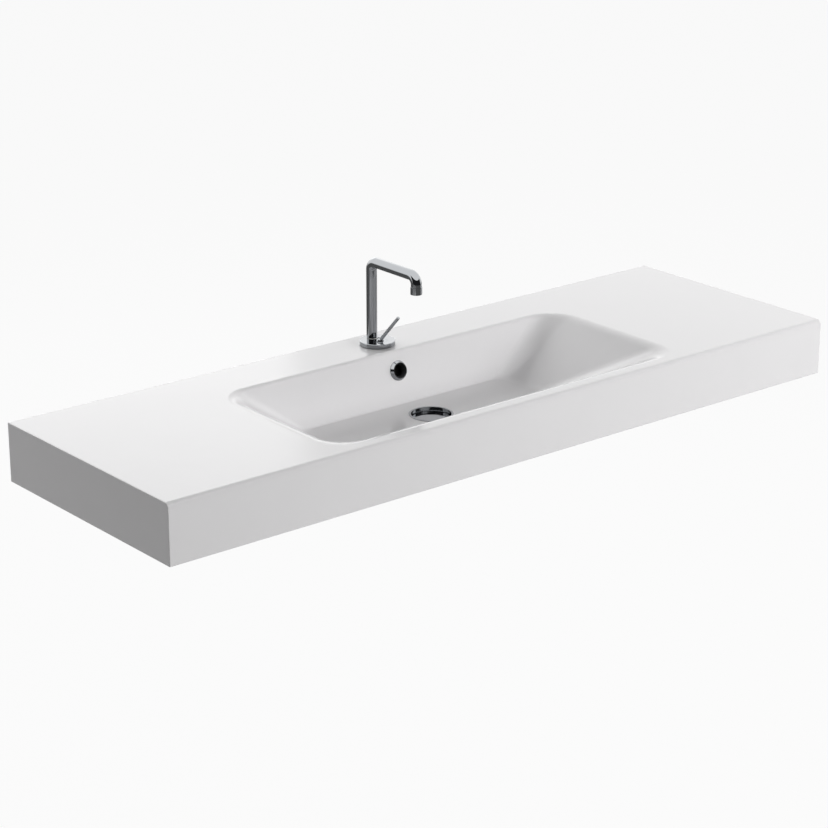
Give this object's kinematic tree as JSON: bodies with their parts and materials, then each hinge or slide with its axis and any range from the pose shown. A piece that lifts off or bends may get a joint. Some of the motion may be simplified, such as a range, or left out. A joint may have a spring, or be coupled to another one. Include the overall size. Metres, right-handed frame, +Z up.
{
  "type": "washbasin",
  "caption": "Wall-hung slab washbasin with a shallow sloping bowl, a swivelling pipe spout with joystick lever, and a push-open waste.",
  "frame": {"origin": "middle of the line between the two wall-fixing holes, on the wall face of the slab", "axes": "+X along the wall and the slab's length, +Y into the wall, +Z up"},
  "size_m": [1.4, 0.45, 0.3262],
  "materials": {
    "fireclay": "white glaze, gloss",
    "chrome": "polished chrome plate",
    "brass": "turned, satin",
    "rubber": "matt",
    "nylon": "matt",
    "acetal": "satin",
    "aerator_plastic": "gloss",
    "steel": "satin",
    "spring_steel": "drawn wire",
    "alumina": "lapped"
  },
  "bodies": {
    "basin": {"basin": "fireclay", "overflow_ring": "chrome", "waste_body": "chrome", "flange_seal": "rubber", "lower_gasket": "rubber", "slip_washer": "nylon", "backnut": "brass", "click_housing": "brass", "plug_spring": "spring_steel", "tap_body": "chrome", "base_gasket": "rubber", "deck_washer_rubber": "rubber", "deck_washer_steel": "steel", "shank_nut": "brass", "cartridge_housing": "acetal", "ceramic_disc_fixed": "alumina", "ball_seat": "acetal", "cartridge_nut": "brass", "lever_cover": "chrome", "spout_nipple": "brass", "spout_orings": "rubber", "glide_ring": "nylon"},
    "spout": {"spout_pipe": "chrome", "spout_grub_screw": "steel", "aerator_collar": "chrome", "aerator_washer": "rubber", "aerator_insert": "aerator_plastic"},
    "rotor": {"cartridge_rotor": "acetal"},
    "lever": {"lever_ball": "chrome", "lever_rod": "chrome"},
    "disc": {"ceramic_disc_moving": "alumina"},
    "plug": {"plug_cap": "chrome", "plug_seal": "rubber", "plug_plunger": "brass"}
  },
  "joints": [
    {"name": "spout_swivel", "type": "hinge", "parent": "basin", "child": "spout", "pos_m": [0, -0.04302, 0.1], "axis": [0, 0, 1], "range_deg": [-45, 45]},
    {"name": "lever_turn", "type": "hinge", "parent": "basin", "child": "rotor", "pos_m": [0, -0.06549, 0.0535], "axis": [0, 0, 1], "range_deg": [-45, 45]},
    {"name": "lever_lift", "type": "hinge", "parent": "rotor", "child": "lever", "pos_m": [0, -0.06549, 0.0535], "axis": [-1, 0, 0], "range_deg": [0, 25]},
    {"name": "disc_slide", "type": "slide", "parent": "rotor", "child": "disc", "axis": [0, -1, 0], "range_m": [0, 0.0057]},
    {"name": "plug_lift", "type": "slide", "parent": "basin", "child": "plug", "axis": [0, 0, 1], "range_m": [0, 0.008], "deforming": ["plug_spring"]}
  ],
  "couplings": [
    {"joint": "disc_slide", "follows": "lever_lift", "m_per_rad": 0.01295}
  ]
}
